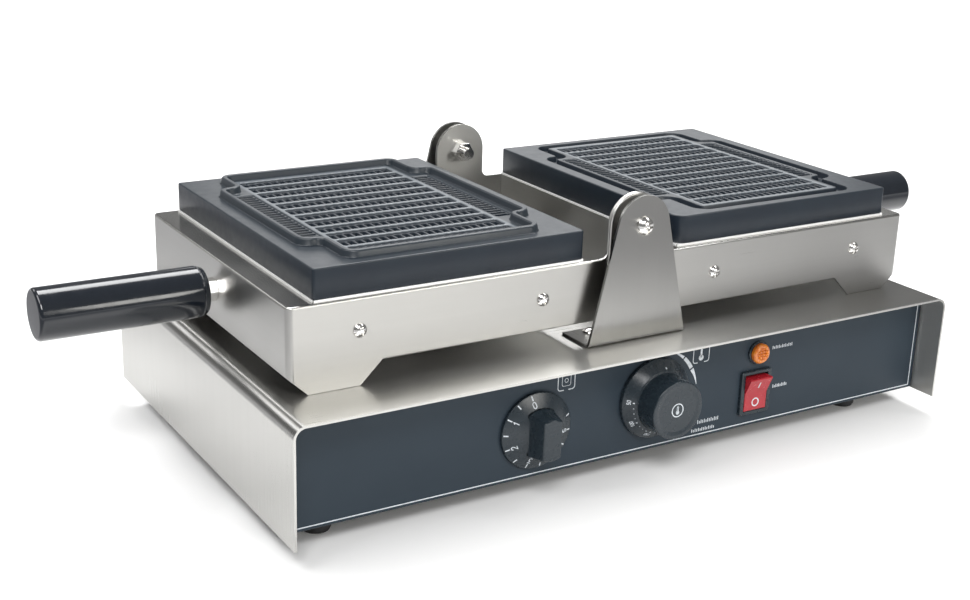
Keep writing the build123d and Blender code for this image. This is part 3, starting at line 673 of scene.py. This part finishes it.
def waffle_plate(side, with_lip):
    """A cast plate with its rows of cells inside a sealing lip or the groove that takes it."""
    node = f"{side}_waffle_plate"
    low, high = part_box(node)
    top = high.z / MM - (LIP_HEIGHT if with_lip else 0.0)
    centre = (low + high) / 2 / MM
    width, depth = (high.x - low.x) / MM, (high.y - low.y) / MM
    thick = top - low.z / MM
    work = bmesh.new()
    outline = rounded_path(rectangle(width, depth), plate_corner_radii(side), 5)
    edge = arc_rows(work, outline, 0.0, PLATE_EDGE, -1, 3)
    edge.append(ring(work, outline, 0.0, -thick + PLATE_HEEL))
    edge.append(ring(work, outline, -PLATE_HEEL, -thick))
    skin(work, edge)
    work.faces.new(edge[-1])
    inset = RING_WIDTH / 2
    wide = (RING_WIDE[0] - 2 * inset, RING_WIDE[1] - 2 * inset)
    narrow = (RING_NARROW[0] - 2 * inset, RING_NARROW[1] - 2 * inset)
    corners = plus_corners(wide, narrow)
    track = rounded_path(corners, [RING_BEND] * len(corners), 7)
    outer, inner = (sealing_lip if with_lip else sealing_groove)(work, track)
    fill(work, edge[0], [outer])
    fill(work, inner, cell_rows(work))
    place = Matrix.Translation((centre.x * MM, centre.y * MM, top * MM)) @ Matrix.Scale(MM, 4)
    work.transform(place)
    work.normal_update()
    for face in work.faces:
        face.smooth = abs(face.normal.z) < FLAT_ENOUGH
    new_piece(f"{side}_baking_plate", work, f"{side}_half", COATING, [node])


def plate_corner_radii(side):
    """Front left, front right, back right, back left; one corner clears the pivot."""
    return [PIVOT_CORNER if side == "right" else PLATE_CORNER] + [PLATE_CORNER] * 3


# ------------------------------------------------------------------ turned pieces
def lathe(work, profile, segments=96):
    """Turns a half section, given as (radius, height) points, round the local z axis."""
    rows = []
    for radius, height in profile:
        if radius == 0:
            rows.append([work.verts.new((0, 0, height))])
            continue
        turns = [2 * math.pi * i / segments for i in range(segments)]
        rows.append([work.verts.new((radius * math.cos(t), radius * math.sin(t), height))
                     for t in turns])
    for low, high in zip(rows, rows[1:]):
        for i in range(segments):
            j = (i + 1) % segments
            corners = [low[i % len(low)], low[j % len(low)], high[j % len(high)],
                       high[i % len(high)]]
            work.faces.new(list(dict.fromkeys(corners)))


def rounded(corners, steps=4):
    """A profile whose corners, given as (radius, height, bend), are arcs where bend isn't 0."""
    profile = []
    for index, (radius, height, bend) in enumerate(corners):
        here = Vector((radius, height))
        if not bend:
            profile.append((radius, height))
            continue
        before = (Vector(corners[index - 1][:2]) - here).normalized()
        after = (Vector(corners[index + 1][:2]) - here).normalized()
        half = before.angle(after) / 2
        reach = bend / math.tan(half)
        centre = here + (before + after).normalized() * bend / math.sin(half)
        first, last = here + before * reach - centre, here + after * reach - centre
        for step in range(steps + 1):
            point = centre + bend * first.slerp(last, step / steps)
            profile.append((point.x, point.y))
    return profile


def panel_place(x, z, out=0.0):
    """Turns local x, y, z into across, up and out of the control panel, in metres."""
    turned = Matrix.Rotation(math.radians(90.0), 4, "X")
    place = Matrix.Translation((x * MM, PANEL_FACE - out * MM, z * MM))
    return place @ turned @ Matrix.Scale(MM, 4)


def smooth(work):
    for face in work.faces:
        face.smooth = True


def bar_outline(half_width, radius, steps=10):
    """Flat-sided bar with round ends, as points round the outline."""
    reach = math.asin(half_width / radius)
    points = []
    for side in (1, -1):
        for step in range(steps + 1):
            angle = math.pi / 2 * side + reach * (1 - 2 * step / steps) * -1
            points.append((radius * math.cos(angle), radius * math.sin(angle)))
    return points


# Two points of each dial's printed cone, as (radius, height) in millimetres from its back.
TIMER_SKIRT = [(25.0, 1.6), (14.0, 6.5)]
THERMO_SKIRT = [(27.0, 2.2), (20.5, 8.0)]
TIMER_HUB, TIMER_HUB_HEIGHT = 13.0, 6.95
THERMO_HUB, THERMO_HUB_HEIGHT = 20.4, 8.1
THERMO_GRIP, THERMO_HEIGHT = 19.25, 25.2
KNOB_GAP = 0.8


def knob_centre(node):
    place = middle(node) / MM
    return place.x, place.z


def timer_knob():
    """Dial with a conical skirt and a bar to grip, its ends drawn in towards the front."""
    work = bmesh.new()
    radius, rim = TIMER_SKIRT[0]
    lathe(work, rounded([(0, 0, 0), (radius, 0, 0.3), (radius, rim, 0.7),
                         (TIMER_HUB, TIMER_HUB_HEIGHT, 0), (0, TIMER_HUB_HEIGHT, 0)]))
    # Each level of the bar: its height, half its length and half its width.
    levels = [(6.0, 16.4, 9.4), (6.9, 15.9, 8.9), (8.4, 15.5, 8.5), (11, 15.0, 8.0),
              (15, 14.3, 7.2), (18.4, 13.7, 6.6), (19.3, 13.4, 6.4), (19.8, 12.95, 6.0),
              (20.0, 12.3, 5.4)]
    rows = []
    for height, reach, half_width in levels:
        rows.append([work.verts.new((x, y, height)) for x, y in bar_outline(half_width, reach)])
    skin(work, rows)
    for end in (rows[0], rows[-1]):
        work.faces.new(end)
    x, z = knob_centre("timer_knob")
    work.transform(panel_place(x, z, KNOB_GAP))
    smooth(work)
    piece = new_piece("timer_dial_and_grip", work, "timer_control", KNOB,
                      ["timer_knob"])
    weigh_normals(piece)


def thermostat_knob():
    """Tall round knob over a conical skirt, its face slightly dished."""
    work = bmesh.new()
    radius, rim = THERMO_SKIRT[0]
    lathe(work, rounded([(0, 0, 0), (radius, 0, 0.3), (radius, rim, 0.9),
                         (THERMO_HUB, THERMO_HUB_HEIGHT, 0.35), (THERMO_GRIP, 8.4, 0.3),
                         (THERMO_GRIP, THERMO_HEIGHT, 0.9), (17.0, THERMO_HEIGHT, 0.6),
                         (14.5, THERMO_HEIGHT - 0.6, 3.0), (0, THERMO_HEIGHT - 0.7, 0)]), 128)
    x, z = knob_centre("thermostat_knob")
    work.transform(panel_place(x, z, KNOB_GAP))
    smooth(work)
    piece = new_piece("thermostat_dial", work, "thermostat_control", KNOB,
                      ["thermostat_knob"])
    weigh_normals(piece)


def handle_grip(side):
    """Glossy bar grip: domed end, long body, and a ring groove before the inner end."""
    low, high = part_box(f"{side}_handle_grip")
    length, radius = (high.x - low.x) / MM, (high.z - low.z) / MM / 2
    work = bmesh.new()
    lathe(work, rounded([(0, 0, 0), (radius - 1.6, 0, 0.8), (radius - 0.5, 3.2, 0.2),
                         (radius - 0.9, 3.7, 0.1), (radius, 4.4, 0.4),
                         (radius, length, 2.4), (0, length, 0)], 6))
    toward = 1 if side == "right" else -1
    start = low.x if side == "right" else high.x
    turned = Matrix.Rotation(math.radians(90.0 * toward), 4, "Y")
    centre = (low + high) / 2
    work.transform(Matrix.Translation((start, centre.y, centre.z)) @ turned @ Matrix.Scale(MM, 4))
    smooth(work)
    piece = new_piece(f"{side}_bar_grip", work, f"{side}_half", GRIP,
                      [f"{side}_handle_grip"])
    weigh_normals(piece)


FACET_PITCH, FACET_HALF, FACET_REACH = 1.9, 0.82, 3
FACET_CROWN = 0.06


def lamp_lens():
    """Amber button lens with a cross-hatched crown under a smooth rim."""
    work = bmesh.new()
    low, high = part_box("lamp_lens")
    x, z = middle("lamp_lens").x / MM, middle("lamp_lens").z / MM
    height = (PANEL_FACE - low.y) / MM
    rim = (high.x - low.x) / MM / 2
    lathe(work, rounded([(0, 1.9, 0), (rim, 1.9, 0.2), (rim, height - 3.6, 0.5),
                         (rim - 0.8, height - 2.6, 0.3), (rim - 1.4, height - 2.4, 0),
                         (0, height - 2.4, 0)]), 48)
    steps = range(-FACET_REACH, FACET_REACH + 1)
    for column in steps:
        for row in steps:
            px, py = column * FACET_PITCH, row * FACET_PITCH
            away = math.hypot(px, py)
            if away > rim - 2.0:
                continue
            lift = height - 0.5 - FACET_CROWN * away * away
            levels = ((FACET_HALF, height - 3.0), (FACET_HALF, lift - 0.9),
                      (FACET_HALF * 0.25, lift))
            rows = [[work.verts.new((px + x, py + y, z)) for x, y in rectangle(2 * half, 2 * half)]
                    for half, z in levels]
            skin(work, rows)
            work.faces.new(rows[0])
            work.faces.new(rows[-1])
    work.transform(panel_place(x, z))
    new_piece("faceted_lens", work, "base", AMBER, ["lamp_lens"])


# ------------------------------------------------------------------ printed marks
DIGITS = {
    "0": [((0, 0.3), (0.3, 0), (0.7, 0), (1, 0.3), (1, 1.3), (0.7, 1.6), (0.3, 1.6), (0, 1.3),
           (0, 0.3))],
    "1": [((0.15, 1.2), (0.55, 1.6), (0.55, 0))],
    "2": [((0, 1.2), (0.25, 1.6), (0.8, 1.6), (1, 1.25), (0.9, 0.9), (0, 0), (1, 0))],
    "3": [((0, 1.6), (0.95, 1.6), (0.45, 0.95), (0.95, 0.7), (0.95, 0.25), (0.6, 0), (0, 0.1))],
    "4": [((0.8, 0), (0.8, 1.6), (0, 0.5), (1.05, 0.5))],
    "5": [((0.95, 1.6), (0.1, 1.6), (0.05, 0.9), (0.65, 0.95), (1, 0.6), (0.9, 0.2), (0.55, 0),
           (0, 0.05))],
}


class Ink:
    """Raised ink on a surface, gathered into one mesh of closed slabs.

    RISE and SINK are how far a slab reaches out of and into the surface, in millimetres.
    """

    RISE, SINK = 0.07, -0.06

    def __init__(self, surface):
        self.work = bmesh.new()
        self.surface = surface

    def row(self, x, y, height):
        return self.work.verts.new(self.surface(x, y, height))

    def stroke(self, points, width):
        """A ribbon along points; width is one number or one for each point."""
        points = [Vector(p) for p in points]
        widths = width if isinstance(width, (list, tuple)) else [width] * len(points)
        looped = (points[0] - points[-1]).length < 1e-6 and len(points) > 3
        if looped:
            points, widths = points[:-1], widths[:-1]
        count = len(points)
        rails = []
        for i, (here, wide) in enumerate(zip(points, widths)):
            before = points[i - 1] if looped or i else here
            after = points[(i + 1) % count] if looped or i < count - 1 else here
            along = (here - before).normalized() + (after - here).normalized()
            side = Vector((-along.y, along.x)).normalized()
            edge = (after - before if before == here or after == here else after - here)
            edge.normalize()
            mitre = max(0.5, abs(side.dot(Vector((-edge.y, edge.x)))))
            reach = side * wide / 2 / mitre
            left, right = here + reach, here - reach
            rails.append([self.row(left.x, left.y, self.RISE), self.row(right.x, right.y, self.RISE),
                          self.row(right.x, right.y, self.SINK), self.row(left.x, left.y, self.SINK)])
        spans = list(zip(rails, rails[1:])) + ([(rails[-1], rails[0])] if looped else [])
        for first, second in spans:
            for k in range(4):
                n = (k + 1) % 4
                self.work.faces.new((first[k], first[n], second[n], second[k]))
        if not looped:
            self.work.faces.new(rails[0])
            self.work.faces.new(rails[-1])

    def dot(self, x, y, radius, sides=14):
        turns = [2 * math.pi * i / sides for i in range(sides)]
        flat = [(x + radius * math.cos(t), y + radius * math.sin(t)) for t in turns]
        top = [self.row(a, b, self.RISE) for a, b in flat]
        low = [self.row(a, b, self.SINK) for a, b in flat]
        skin(self.work, [low, top])
        self.work.faces.new(top)
        self.work.faces.new(low)

    def loop(self, x, y, radius, width, sides=28):
        turns = [2 * math.pi * i / sides for i in range(sides + 1)]
        self.stroke([(x + radius * math.cos(t), y + radius * math.sin(t)) for t in turns], width)

    def glyph(self, text, place, height, width, turn=0.0):
        """Figures centred on place, with their tops pointing along turn."""
        unit = height / 1.6
        start = -(len(text) * 1.5 - 0.5) / 2
        up = Vector((-math.sin(turn), math.cos(turn)))
        right = Vector((math.cos(turn), math.sin(turn)))
        for index, figure in enumerate(text):
            for line in DIGITS[figure]:
                flat = [Vector(place) + right * unit * (start + index * 1.5 + u)
                        + up * unit * (v - 0.8) for u, v in line]
                self.stroke(flat, width)

    def finish(self, name, body):
        new_piece(name, self.work, body, INK)


def polar(radius, degrees):
    """Point on a dial, degrees counter-clockwise from its top."""
    angle = math.radians(degrees)
    return Vector((-radius * math.sin(angle), radius * math.cos(angle)))


def dial_surface(node, skirt):
    """The cone of a dial's skirt as a surface to print on."""
    x0, z0 = knob_centre(node)
    (outer, low), (inner, high) = skirt

    def surface(x, y, rise):
        share = (outer - math.hypot(x, y)) / (outer - inner)
        height = low + (high - low) * min(max(share, 0.0), 1.0)
        return Vector(((x0 + x) * MM, PANEL_FACE - (KNOB_GAP + height + rise) * MM,
                       (z0 + y) * MM))
    return surface


def panel_surface(x, z, rise):
    return Vector((x * MM, PANEL_FACE - rise * MM, z * MM))


# Dials: angles in degrees counter-clockwise from the top, radii and line widths in millimetres.
TIMER_START, TIMER_STEP, TIMER_MARKS = 12.0, 25.0, 12
TICK_FOOT, TICK_TIP, LONG_TICK_TIP, TICK_WIDTH = 21.4, 24.2, 24.3, 0.75
FIGURE_RADIUS, FIGURE_HEIGHT, FIGURE_LINE = 18.8, 3.4, 0.55
HEAT_START, HEAT_STEP, HEAT_PARTS = 84.0, 39.0, 4
HEAT_FIGURES, HEAT_FIGURE_RADIUS = ("50", "100", "150", "200", "250", "300"), 23.9
POINTER_RADIUS, POINTER_ANGLE = 21.9, -8.0
BADGE_SINK = 0.58


def timer_marks():
    """Ticks all round the timer's skirt, every other one longer and with a figure."""
    ink = Ink(dial_surface("timer_knob", TIMER_SKIRT))
    for mark in range(TIMER_MARKS):
        turn = TIMER_START + TIMER_STEP * mark
        plain = mark % 2
        tip = TICK_TIP if plain else LONG_TICK_TIP
        ink.stroke([polar(TICK_FOOT, turn), polar(tip, turn)], TICK_WIDTH)
        if not plain:
            ink.glyph(str(mark // 2), polar(FIGURE_RADIUS, turn), FIGURE_HEIGHT, FIGURE_LINE,
                      math.radians(turn))
    ink.finish("timer_dial_marks", "timer_control")


def thermostat_marks():
    """Figures and dots round the skirt, and a ringed thermometer on the knob's face."""
    ink = Ink(dial_surface("thermostat_knob", THERMO_SKIRT))
    ink.dot(*polar(POINTER_RADIUS, POINTER_ANGLE), 0.62)
    for index, figures in enumerate(HEAT_FIGURES):
        turn = HEAT_START + HEAT_STEP * index
        ink.glyph(figures, polar(HEAT_FIGURE_RADIUS, turn), 1.7, 0.36, math.radians(turn))
        ink.dot(*polar(21.5, turn), 0.5)
        if index < len(HEAT_FIGURES) - 1:
            for part in range(1, HEAT_PARTS):
                ink.dot(*polar(21.4, turn + HEAT_STEP / HEAT_PARTS * part), 0.3, 10)
    ink.finish("thermostat_dial_marks", "thermostat_control")
    x0, z0 = knob_centre("thermostat_knob")
    face = (PANEL_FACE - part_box("thermostat_knob")[0].y) / MM - BADGE_SINK

    def knob_face(x, y, rise):
        return Vector(((x0 + x) * MM, PANEL_FACE - (face + rise) * MM, (z0 + y) * MM))
    badge = Ink(knob_face)
    badge.loop(0, 0, 4.3, 0.62)
    badge.loop(0, -1.5, 1.05, 0.5, 16)
    badge.stroke([(-0.5, -0.6), (-0.5, 2.2), (0, 2.7), (0.5, 2.2), (0.5, -0.6)], 0.4)
    badge.dot(0, -1.5, 0.6, 10)
    badge.finish("thermostat_badge", "thermostat_control")


# Panel print: x and z on the panel, and line widths, in millimetres.
FRAME_LINE, FRAME_BEND = 0.55, 1.6
BAR_LINE = 0.62
BORDER_INSET, BORDER_RISE, BORDER_STOP, BORDER_LINE = 3.2, 2.7, 3.0, 0.7


def bracket(ink, x0, x1, top, low, gap, width=FRAME_LINE, bend=FRAME_BEND):
    """An open frame with rounded lower corners and a gap in its lower side."""
    middle_x = (x0 + x1) / 2
    for side, edge in ((1, x0), (-1, x1)):
        ink.stroke([(edge, top), (edge, low + bend), (edge + side * bend * 0.3, low + bend * 0.3),
                    (edge + side * bend, low), (middle_x - side * gap / 2, low)], width)


def band(ink, first, last, inner, outer, steps=8):
    """A curved band on the panel round the thermostat, its two radii given at both ends."""
    x0, z0 = knob_centre("thermostat_knob")
    points, widths = [], []
    for step in range(steps + 1):
        share = step / steps
        near = inner[0] + (inner[1] - inner[0]) * share
        far = outer[0] + (outer[1] - outer[0]) * share
        spot = polar((near + far) / 2, first + (last - first) * share)
        points.append((x0 + spot.x, z0 + spot.y))
        widths.append(far - near)
    ink.stroke(points, widths)


def dashes(ink, x0, x1, z, height, count):
    """A row of short upright bars standing in for a printed word."""
    for index in range(count):
        x = x0 + (x1 - x0) * index / (count - 1)
        tall = height * (1.0, 0.7, 1.0, 0.85)[index % 4]
        ink.stroke([(x, z), (x, z + tall)], BAR_LINE)


def panel_print():
    """Border line, temperature band, symbols and word stand-ins on the control panel."""
    ink = Ink(panel_surface)
    edge, low = PANEL_HALF / MM - BORDER_INSET, PANEL_LOW / MM + BORDER_RISE
    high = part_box("control_panel")[1].z / MM - BORDER_STOP
    ink.stroke([(-edge, low), (edge, low), (edge, high)], BORDER_LINE)
    # The temperature band, in three parts: it widens, then runs out to a point.
    band(ink, first=-30.0, last=-45.0, inner=(31.2, 31.4), outer=(31.9, 33.4))
    band(ink, first=-47.0, last=-64.0, inner=(31.4, 31.8), outer=(33.6, 34.6))
    band(ink, first=-66.0, last=-86.0, inner=(31.9, 35.0), outer=(34.7, 35.2))
    # The timer's symbol: a frame in a frame round a ring.
    bracket(ink, x0=-64.6, x1=-52.2, top=76.2, low=66.6, gap=3.4)
    bracket(ink, x0=-61.6, x1=-55.2, top=76.2, low=69.2, gap=0.0, width=0.3, bend=1.2)
    ink.loop(x=-58.4, y=72.8, radius=1.3, width=0.3, sides=14)
    # The thermostat's symbol: a thermometer in a frame.
    bracket(ink, x0=41.0, x1=54.0, top=76.2, low=66.4, gap=5.4)
    ink.dot(x=47.5, y=69.6, radius=2.0)
    ink.stroke([(47.5, 70.0), (47.5, 75.4)], width=1.5)
    # Bars beside the lamp and the switch, and two rows below the thermostat.
    dashes(ink, x0=109.6, x1=126.4, z=65.0, height=2.3, count=13)
    dashes(ink, x0=112.8, x1=124.6, z=36.5, height=2.4, count=10)
    dashes(ink, x0=49.0, x1=66.0, z=22.4, height=2.6, count=13)
    dashes(ink, x0=44.5, x1=63.0, z=16.9, height=2.4, count=14)
    ink.finish("panel_print", "base")


# The ridge between the rocker's two faces: how far out of the panel and below the middle it is.
ROCKER_RIDGE, ROCKER_RIDGE_DROP = 2.75, 0.46
ROCKER_FOLD = math.radians(24.0)


def rocker_face(fold):
    """One face of the rocker, leaning out of the panel by fold from the ridge between the two."""
    x0, z0 = middle("switch_rocker").x / MM, middle("switch_housing").z / MM - ROCKER_RIDGE_DROP
    lean, climb = math.sin(fold), math.cos(fold)

    def surface(x, y, rise):
        out = ROCKER_RIDGE + y * lean + rise * climb
        up = z0 + y * climb - rise * lean
        return Vector(((x0 + x) * MM, PANEL_FACE - out * MM, up * MM))
    return surface


def rocker_marks():
    """A ring on the pressed lower face and a stroke on the raised upper one."""
    ink = Ink(rocker_face(0.0))
    ink.loop(0, -6.6, 2.7, 0.85)
    ink.surface = rocker_face(ROCKER_FOLD)
    ink.stroke([(0, 4.6), (0, 9.4)], 0.95)
    ink.finish("rocker_marks", "power_rocker")


# ------------------------------------------------------------------ stage, light and camera
def emitter(name, place, target, size, power, colour=(1.0, 1.0, 1.0)):
    """A rectangular soft light at place that faces target."""
    light = bpy.data.lights.new(name, "AREA")
    light.shape = "RECTANGLE"
    light.size, light.size_y = size
    light.energy = power
    light.color = colour
    lamp = bpy.data.objects.new(name, light)
    lamp.location = place
    lamp.rotation_euler = (Vector(target) - Vector(place)).to_track_quat("-Z", "Y").to_euler()
    bpy.context.scene.collection.objects.link(lamp)


FLOOR_REACH = 8.0
PAPER_LOW, PAPER_HIGH, FLOOR_PAINTED_SHADE = (0.89, 0.89, 0.89), (0.91, 0.91, 0.91), (0.25, 0.25, 0.26)
# Painted shade on the floor, seen only in the steel's reflections: its direction, and how far out it
# starts and is full.
PAINTED_SHADE_ZONES = (((0.5, -0.85, 0.0), 0.335, 0.56), ((-1.0, 0.257, 0.0), 0.365, 0.50),
              ((-0.85, -0.52, 0.0), 0.39, 0.55))
GLOW_START, GLOW_FULL, GLOW = 0.75, 1.7, 0.85
SURROUND_STRENGTH = 0.22


def floor():
    """Pale paper with painted shade outside the view, and a faint glow far away."""
    mesh = bpy.data.meshes.new("floor")
    corners = [(x, y, 0) for x, y in rectangle(2 * FLOOR_REACH, 2 * FLOOR_REACH)]
    mesh.from_pydata(corners, [], [(0, 1, 2, 3)])
    look = Look("floor_paper", PAPER_LOW, 0.9)
    shade = look.mix(look.noise(3.0, 2.0), PAPER_LOW, PAPER_HIGH)
    # Painted shade: the floor turns grey in these zones so that the steel reflects them darker.
    for direction, start, full in PAINTED_SHADE_ZONES:
        grey = look.spread(look.dot(look.place(), direction), start, full, 0.0, 1.0)
        shade = look.mix(grey, shade, FLOOR_PAINTED_SHADE)
    look.put("Base Color", shade)
    away = look.node("ShaderNodeVectorMath", {0: look.place()}, operation="LENGTH").outputs["Value"]
    look.put("Emission Color", (1.0, 1.0, 1.0, 1.0))
    look.put("Emission Strength", look.spread(away, GLOW_START, GLOW_FULL, 0.0, GLOW))
    mesh.materials.append(look.material)
    plane = bpy.data.objects.new("floor", mesh)
    bpy.context.scene.collection.objects.link(plane)


def studio():
    """Faint white surroundings and seven soft lights."""
    world = bpy.data.worlds.new("studio")
    bpy.context.scene.world = world
    world.use_nodes = True
    back = world.node_tree.nodes["Background"]
    back.inputs["Color"].default_value = (1.0, 1.0, 1.0, 1.0)
    back.inputs["Strength"].default_value = SURROUND_STRENGTH
    emitter("overhead_softbox", place=(-0.95, 0.0, 1.25), target=(-0.1, 0.0, 0.0),
            size=(0.9, 0.55), power=8.5)
    emitter("cover_strip", place=(0.62, 0.15, 1.15), target=(0.0, 0.0, 0.1),
            size=(1.4, 0.3), power=7.0)
    emitter("front_softbox", place=(0.45, -1.35, 0.57), target=(0.0, -0.12, 0.09),
            size=(0.8, 0.4), power=7.6, colour=(1.0, 0.98, 0.93))
    emitter("bend_softbox", place=(-0.95, 1.78, 1.19), target=(-0.25, 0.0, 0.1),
            size=(0.7, 0.6), power=3.2)
    emitter("low_back_softbox", place=(1.9, 3.0, 1.28), target=(0.0, 0.0, 0.1),
            size=(2.0, 1.2), power=11.0)
    emitter("camera_side_softbox", place=(-0.9, -1.6, 1.9), target=(0.0, -0.3, 0.0),
            size=(1.2, 0.9), power=38.0)
    emitter("far_softbox", place=(1.0, 1.7, 3.0), target=(1.0, 1.7, 0.0),
            size=(2.4, 1.6), power=112.0)
    floor()
    bpy.context.scene.view_settings.view_transform = "Standard"


# Where the camera stands, how far it turns from +Y, looks down and leans, in degrees.
CAMERA_PLACE = (-0.54636, -0.81844, 0.40782)
CAMERA_TURN, CAMERA_DIP, CAMERA_ROLL = 31.71, 18.62, 1.8
CAMERA_LENS, CAMERA_SENSOR = 54.82, 36.0


def camera():
    view = bpy.data.cameras.new("camera")
    view.lens = CAMERA_LENS
    view.sensor_width = CAMERA_SENSOR
    view.clip_start = 0.02
    holder = bpy.data.objects.new("camera", view)
    bpy.context.scene.collection.objects.link(holder)
    turn = Matrix.Rotation(math.radians(-CAMERA_TURN), 4, "Z")
    dip = Matrix.Rotation(math.radians(90.0 - CAMERA_DIP), 4, "X")
    roll = Matrix.Rotation(math.radians(CAMERA_ROLL), 4, "Z")
    holder.matrix_world = Matrix.Translation(CAMERA_PLACE) @ turn @ dip @ roll
    bpy.context.scene.camera = holder


dress_all()
waffle_plate("left", True)
waffle_plate("right", False)
timer_knob()
thermostat_knob()
handle_grip("left")
handle_grip("right")
lamp_lens()
timer_marks()
thermostat_marks()
panel_print()
rocker_marks()
studio()
camera()
